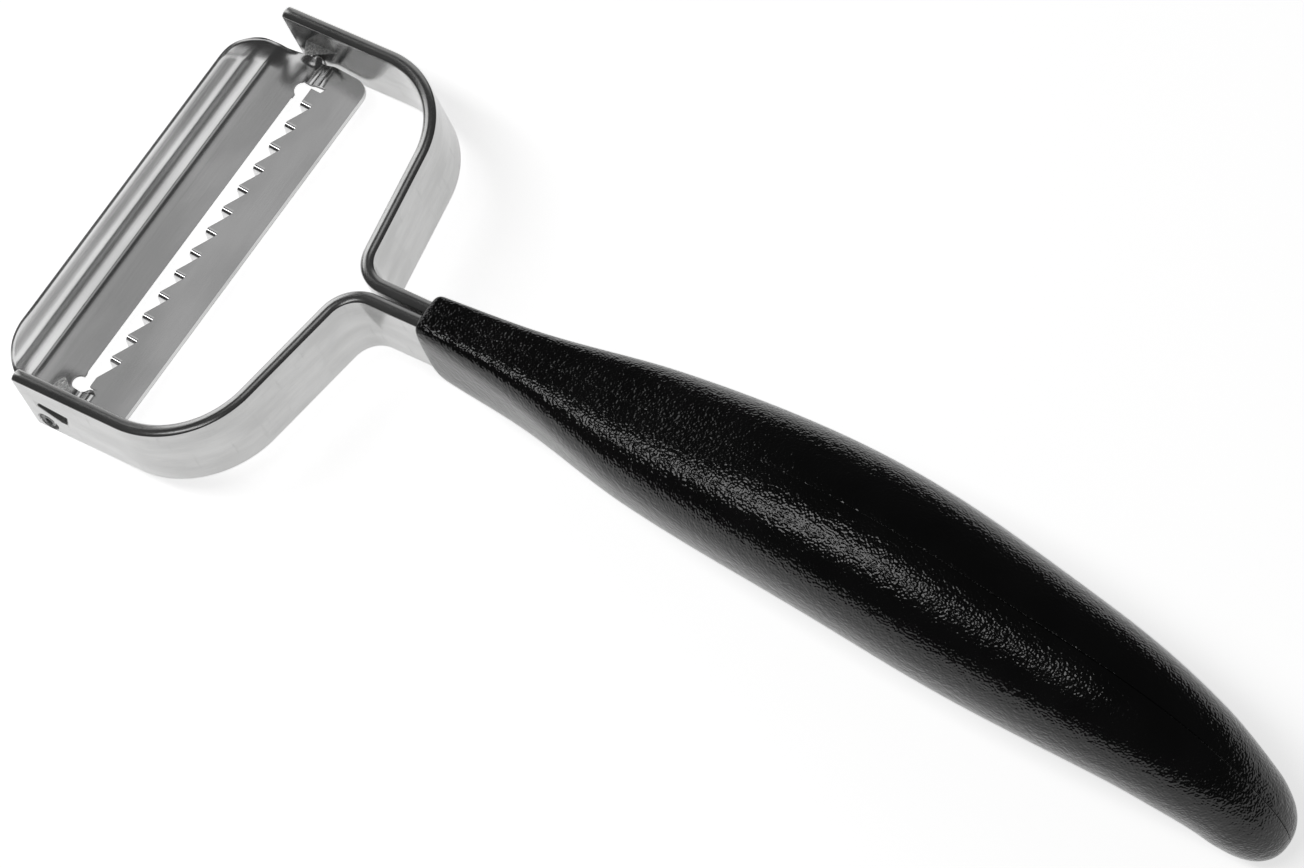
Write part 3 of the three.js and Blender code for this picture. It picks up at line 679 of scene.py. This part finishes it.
def blade_sheet():
    """Sheet and rolled ends as one piece."""
    (sheet, sheet_faces, sheet_walls), (rolls, roll_faces, roll_walls) = sheet_plate(), trunnion_rolls()
    faces = np.concatenate([sheet_faces, roll_faces + len(sheet)])
    return swing(np.concatenate([sheet, rolls])), faces.tolist(), np.concatenate([sheet_walls, roll_walls])


# Handle

def section(share):
    """Half width, half depth and slope at a share of the length: a cubic through the stations whose slopes are
    those of the line between each station's neighbours."""
    at, values = HANDLE_SECTIONS[:, 0], HANDLE_SECTIONS[:, 1:]
    count = len(at)
    after = np.minimum(np.arange(count) + 1, count - 1)
    before = np.maximum(np.arange(count) - 1, 0)
    slope = (values[after] - values[before]) / (at[after] - at[before])[:, None]
    k = np.clip(np.searchsorted(at, share), 1, count - 1)
    span = (at[k] - at[k - 1])[:, None]
    t = ((share - at[k - 1]) / span[:, 0])[:, None]
    rise = values[k - 1] + (values[k] - values[k - 1]) * t * t * (3 - 2 * t)
    both = t * (1 - t) ** 2 * span * slope[k - 1] + t * t * (t - 1) * span * slope[k]
    return (rise + both).T


def handle_shell(side):
    """Half of the handle: sections with a rounded power outline, squarer at the front, carried down the curved
    middle line to a round tail, with a fine lip along the seam and a front face that leans back at the bottom
    and runs in to the slot for the tangs."""
    steps = 1200
    fine = np.linspace(0, 1, steps + 1)
    slope = np.radians(section((fine[1:] + fine[:-1]) / 2)[2])
    step = HANDLE_LENGTH / steps
    line_x = HANDLE_FRONT + np.concatenate([[0], np.cumsum(np.cos(slope) * step)])
    line_z = HANDLE_RISE - np.concatenate([[0], np.cumsum(np.sin(slope) * step)])
    end = HANDLE_LENGTH - 0.06
    body = np.linspace(HANDLE_START + FRONT_ROUND, end - HANDLE_TAIL, 150)
    dome = end - HANDLE_TAIL * (1 - np.sin(np.linspace(0, np.pi / 2, 40)[1:-1]))
    front = np.linspace(0, np.pi / 2, 7)[:-1]
    along = np.concatenate([HANDLE_START + FRONT_ROUND * (1 - np.cos(front)), body, dome, [end - 0.0004]])
    share = along / HANDLE_LENGTH
    wide, deep, _ = section(share)
    wide, deep = wide - 0.03, deep - 0.05
    round_tail = np.sqrt(np.clip(1 - np.clip((along - end + HANDLE_TAIL) / HANDLE_TAIL, 0, 1) ** 2, 0, 1))
    draw = np.concatenate([0.55 * (1 - np.sin(front)), np.zeros(len(along) - len(front))])
    wide, deep = (wide - draw) * round_tail, (deep - draw) * round_tail
    power = 2 / (BODY_SQUARENESS + FRONT_SQUARER * np.exp(-along / SQUARER_RUN))
    # The front face: the first section drawn in to the tang slot, then a short way down the slot's wall
    t = np.linspace(0, 1, 6)[:-1]
    slot_wide, slot_deep, slot_power = 2.55, 6.3, 0.12
    into = HANDLE_START + np.array([6.0, 3.0, 0.0])
    along = np.concatenate([into, np.full(4, HANDLE_START), along])
    wide = np.concatenate([[slot_wide] * 3, slot_wide + (wide[0] - slot_wide) * t[1:], wide])
    deep = np.concatenate([[slot_deep] * 3, slot_deep + (deep[0] - slot_deep) * t[1:], deep])
    power = np.concatenate([[slot_power] * 3, slot_power + (power[0] - slot_power) * t[1:], power])
    share = along / HANDLE_LENGTH
    at_x, at_z = np.interp(share, fine, line_x), np.interp(share, fine, line_z)
    lean = np.radians(section(share)[2])
    a = np.linspace(0, np.pi, 81)[None]
    across = wide[:, None] * np.abs(np.sin(a)) ** power[:, None]
    lift = deep[:, None] * np.sign(np.cos(a)) * np.abs(np.cos(a)) ** power[:, None]
    # Seam lip: a small round and a short wall at both ends of the section
    bend = np.linspace(0, np.pi / 2, 4)[None]
    towards_tail = ease(along, 70, 110)
    size = (0.002 + 0.12 * towards_tail)[:, None] * np.minimum(1, wide / 3)[:, None]
    gap = (0.002 + 0.018 * towards_tail)[:, None]
    gap[:7, 0] = np.concatenate([np.full(3, 0.12), np.linspace(0.1, 0.02, 4)])
    lip_y = gap + size * (1 - np.sin(bend))
    lip_z = size * (1 - np.cos(bend))
    wall = np.minimum(0.5, 0.3 * deep)[:, None]
    top_y = np.concatenate([gap, lip_y[:, ::-1]], 1)
    top_z = np.concatenate([lift[:, :1] - wall, lift[:, :1] - lip_z[:, ::-1]], 1)
    low_y = top_y[:, ::-1]
    low_z = np.concatenate([lift[:, -1:] + lip_z, lift[:, -1:] + wall], 1)
    body_y = np.maximum(across[:, 1:-1], gap + size)
    y = np.concatenate([top_y, body_y, low_y], 1)
    up = np.concatenate([top_z, lift[:, 1:-1], low_z], 1)
    near_front = np.exp(-(along - HANDLE_START) / FRONT_LEAN_RUN)[:, None]
    drawn_back = FRONT_LEAN * near_front * np.clip(-up / deep[:, None], 0, 1) ** 3
    x = at_x[:, None] + up * np.sin(lean)[:, None] + drawn_back
    z = at_z[:, None] + up * np.cos(lean)[:, None]
    points = np.stack([x, side * y, z], -1)
    rows, columns = y.shape
    ends = np.stack([np.arange(columns), (rows - 1) * columns + np.arange(columns)])
    return points.reshape(-1, 3), weave(rows, columns, closed=True).tolist() + ends.tolist()


# Pieces

strip = strip_steel()
sheet = blade_steel()
plastic = handle_plastic()
steel_pieces, plastic_pieces = [], []
for side, word in ((-1, "left"), (1, "right")):
    points, faces, run, cut = strip_arm(side, STOP_REACH[word])
    steel_pieces.append(add_piece(
        f"arm_{word}_strip", points, faces, strip, "frame", [f"arm_{word}"], run, cut))
    points, faces = handle_shell(side)
    plastic_pieces.append(add_piece(
        f"handle_{word}_shell", points, faces, plastic, "frame", [f"handle_{word}"]))
points, faces, cut = blade_sheet()
steel_pieces.append(add_piece(
    "blade_sheet", points, faces, sheet, "blade", ["blade"], cut=cut, sharp=30))
points, faces, cut = fin_plates()
fins = add_piece("blade_fins", points, faces, sheet, "blade", ["blade"], cut=cut, sharp=30)


# Floor, light and camera

def add_floor():
    """A large flat square that the part lies on."""
    half = 1.1
    mesh = bpy.data.meshes.new("floor")
    corners = [(-half, -half, 0.0), (half, -half, 0.0), (half, half, 0.0), (-half, half, 0.0)]
    mesh.from_pydata(corners, [], [(0, 1, 2, 3)])
    mesh.materials.append(floor_white())
    floor = bpy.data.objects.new("floor", mesh)
    bpy.context.collection.objects.link(floor)
    return floor


def add_softbox(name, towards, distance, size, power, lit):
    """Area light at a distance in a direction from the part's middle, facing it. It lights only the objects
    given."""
    light = bpy.data.lights.new(name, "AREA")
    light.shape = "RECTANGLE"
    light.size, light.size_y = size
    light.energy = power
    lamp = bpy.data.objects.new(name, light)
    way = np.array(towards, float) / np.linalg.norm(towards)
    side = np.array([1.0, 0.0, 0.0])
    up = np.cross(way, side)
    up /= np.linalg.norm(up)
    side = np.cross(up, way)
    matrix = np.eye(4)
    matrix[:3, 0], matrix[:3, 1], matrix[:3, 2], matrix[:3, 3] = side, up, way, way * distance
    lamp.matrix_world = matrix.T.tolist()  # a plain list is read column by column
    bpy.context.collection.objects.link(lamp)
    lamp.light_linking.receiver_collection = bpy.data.collections.new(name)
    for piece in lit:
        lamp.light_linking.receiver_collection.objects.link(piece)


def add_camera():
    """Camera where the photograph was taken from: a long lens, high above the handle's tail and to its left."""
    lens = bpy.data.cameras.new("camera")
    lens.lens = 241.1
    lens.sensor_width = 36.0
    camera = bpy.data.objects.new("camera", lens)
    camera.rotation_mode = "QUATERNION"
    camera.rotation_quaternion = (0.9339093, 0.2000264, 0.1213922, 0.2703085)
    camera.location = (0.4028077, -0.3730249, 1.1031417)
    bpy.context.collection.objects.link(camera)
    bpy.context.scene.camera = camera


floor = add_floor()
arms, blade = steel_pieces[:2], [steel_pieces[2], fins]
add_softbox("strip_box", (-0.36, -0.29, 0.94), 1.0, (1.0, 0.2), 3.0, [*plastic_pieces, fins, floor])
add_softbox("edge_box", (-0.3, -0.29, 0.94), 1.0, (0.5, 0.14), 0.3, [*arms, *blade])
add_softbox("grey_panel", (-0.39, 0.29, 0.87), 1.1, (0.32, 0.3), 0.185, [*arms, *blade])
add_softbox("front_box", (-0.9, 0.3, 0.26), 0.95, (0.4, 0.55), 0.85, [*arms, *plastic_pieces, floor])
add_softbox("side_panel", (-0.55, 0.8, 0.3), 1.0, (0.5, 0.5), 0.3, arms)
add_softbox("crest_box", (-0.8, 0.25, 0.52), 0.95, (0.44, 0.4), 0.7, blade)
add_camera()
world = bpy.data.worlds.new("studio")
world.use_nodes = True
world.node_tree.nodes["Background"].inputs["Color"].default_value = (0.06, 0.06, 0.06, 1)
world.node_tree.nodes["Background"].inputs["Strength"].default_value = 1.0
bpy.context.scene.world = world
bpy.context.scene.view_settings.view_transform = "Standard"
